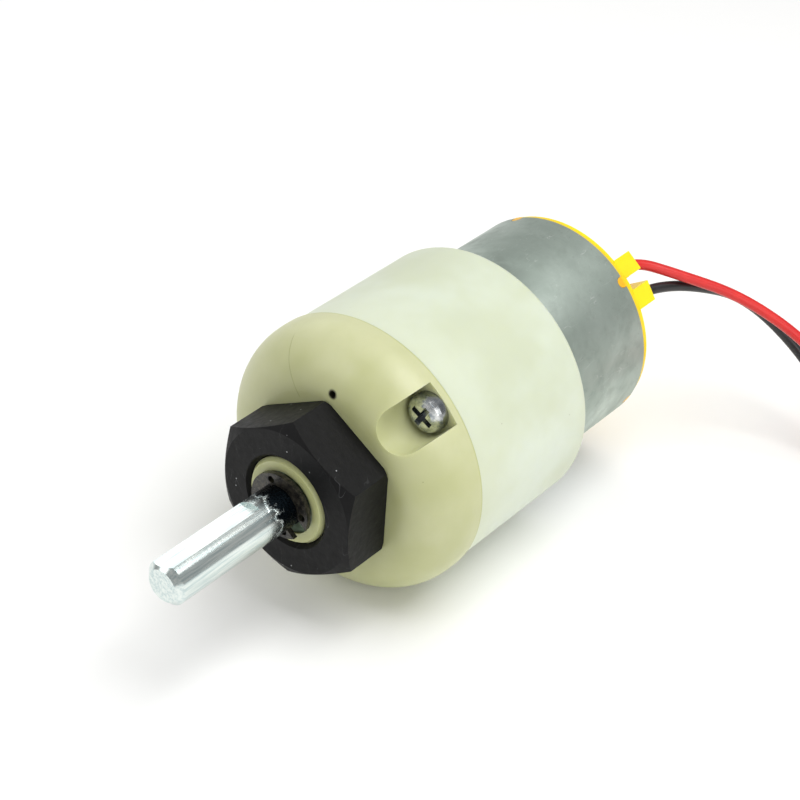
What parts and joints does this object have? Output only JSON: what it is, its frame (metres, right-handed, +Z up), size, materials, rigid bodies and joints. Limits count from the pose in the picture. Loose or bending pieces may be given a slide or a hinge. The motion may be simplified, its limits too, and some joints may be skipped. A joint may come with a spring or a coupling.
{
  "type": "geared dc motor",
  "caption": "Brushed DC motor with a round spur gearbox, a D-cut output shaft through a threaded nose with a hex nut, and two soldered leads.",
  "frame": {"origin": "on the common axis of output shaft and motor, at the front face of the gearbox, where the mounting nut seats and the threaded nose begins", "axes": "-Y along the output shaft, out of the gearbox; +Y through the motor; +Z up, away from the surface that the motor lies on; +X to the side on which the leads come out"},
  "size_m": [0.0665, 0.1203, 0.0376],
  "materials": {
    "cover_plastic": "satin, slightly translucent, greasy at the nose",
    "barrel_plastic": "satin, moulded",
    "nut_black": "black oxide, worn at the corners",
    "shaft_steel": "ground",
    "ring_steel": "phosphated spring steel, greased",
    "washer_steel": "greased",
    "bush_bronze": "sintered, oiled",
    "spindle_steel": "ground",
    "screw_chrome": "nickel plated",
    "gear_steel": "sintered, greased",
    "gear_brass": "machined",
    "gear_nylon": "moulded nylon",
    "can_steel": "dull zinc plating, blotchy",
    "cap_yellow": "moulded, glossy",
    "magnet_ferrite": "sintered ferrite",
    "spring_steel": "bright",
    "core_steel": "laminated",
    "winding_copper": "enamelled copper",
    "commutator_copper": "turned copper",
    "spacer_plastic": "moulded",
    "carbon": "pressed carbon",
    "contact_brass": "tinned",
    "solder_tin": "tinned",
    "lead_red_pvc": "soft PVC",
    "lead_black_pvc": "soft PVC",
    "tie_plastic": "coated wire"
  },
  "bodies": {
    "housing": {"gearbox_cover": "cover_plastic", "gearbox_body": "barrel_plastic", "nose_bush": "bush_bronze", "gear_spindles": "spindle_steel", "cover_screws": "screw_chrome", "motor_screws": "screw_chrome", "motor_can": "can_steel", "front_bush": "bush_bronze", "rear_bush": "bush_bronze", "end_cap": "cap_yellow", "magnet_upper": "magnet_ferrite", "magnet_lower": "magnet_ferrite", "magnet_springs": "spring_steel", "brush_positive": "carbon", "brush_negative": "carbon", "brush_spring_positive": "contact_brass", "brush_spring_negative": "contact_brass", "terminal_positive": "contact_brass", "terminal_negative": "contact_brass", "strands_red": "solder_tin", "strands_black": "solder_tin", "solder_joints": "solder_tin", "lead_red": "lead_red_pvc", "lead_red_coil": "lead_red_pvc", "lead_red_tip": "solder_tin", "lead_black": "lead_black_pvc", "lead_black_coil": "lead_black_pvc", "lead_black_tip": "solder_tin", "coil_tie": "tie_plastic"},
    "output": {"output_shaft": "shaft_steel", "output_gear": "gear_steel", "retaining_ring": "ring_steel", "thrust_washer": "washer_steel"},
    "cluster_a": {"wheel_a": "gear_nylon", "pinion_a": "gear_steel"},
    "cluster_b": {"wheel_b": "gear_steel", "pinion_b": "gear_steel"},
    "cluster_c": {"wheel_c": "gear_steel", "pinion_c": "gear_steel"},
    "rotor": {"motor_shaft": "spindle_steel", "motor_pinion": "gear_brass", "armature_core": "core_steel", "armature_coils": "winding_copper", "commutator": "commutator_copper", "shaft_washers": "spacer_plastic"},
    "nut": {"mounting_nut": "nut_black"}
  },
  "joints": [
    {"name": "rotor_spin", "type": "hinge", "parent": "housing", "child": "rotor", "pos_m": [0, 0.035, 0], "axis": [0, 1, 0], "continuous": true},
    {"name": "cluster_a_spin", "type": "hinge", "parent": "housing", "child": "cluster_a", "pos_m": [0.0022, 0.014, 0.00852], "axis": [0, 1, 0], "continuous": true},
    {"name": "cluster_b_spin", "type": "hinge", "parent": "housing", "child": "cluster_b", "pos_m": [-0.00628, 0.014, 0.00617], "axis": [0, 1, 0], "continuous": true},
    {"name": "cluster_c_spin", "type": "hinge", "parent": "housing", "child": "cluster_c", "pos_m": [-0.00848, 0.014, -0.00235], "axis": [0, 1, 0], "continuous": true},
    {"name": "output_spin", "type": "hinge", "parent": "housing", "child": "output", "pos_m": [0, 0, 0], "axis": [0, 1, 0], "continuous": true},
    {"name": "nut_slide", "type": "slide", "parent": "housing", "child": "nut", "axis": [0, -1, 0], "range_m": [0, 0.03]}
  ],
  "couplings": [
    {"joint": "cluster_a_spin", "follows": "rotor_spin", "ratio": -0.375},
    {"joint": "cluster_b_spin", "follows": "rotor_spin", "ratio": 0.14062},
    {"joint": "cluster_c_spin", "follows": "rotor_spin", "ratio": -0.052734},
    {"joint": "output_spin", "follows": "rotor_spin", "ratio": 0.019775}
  ]
}
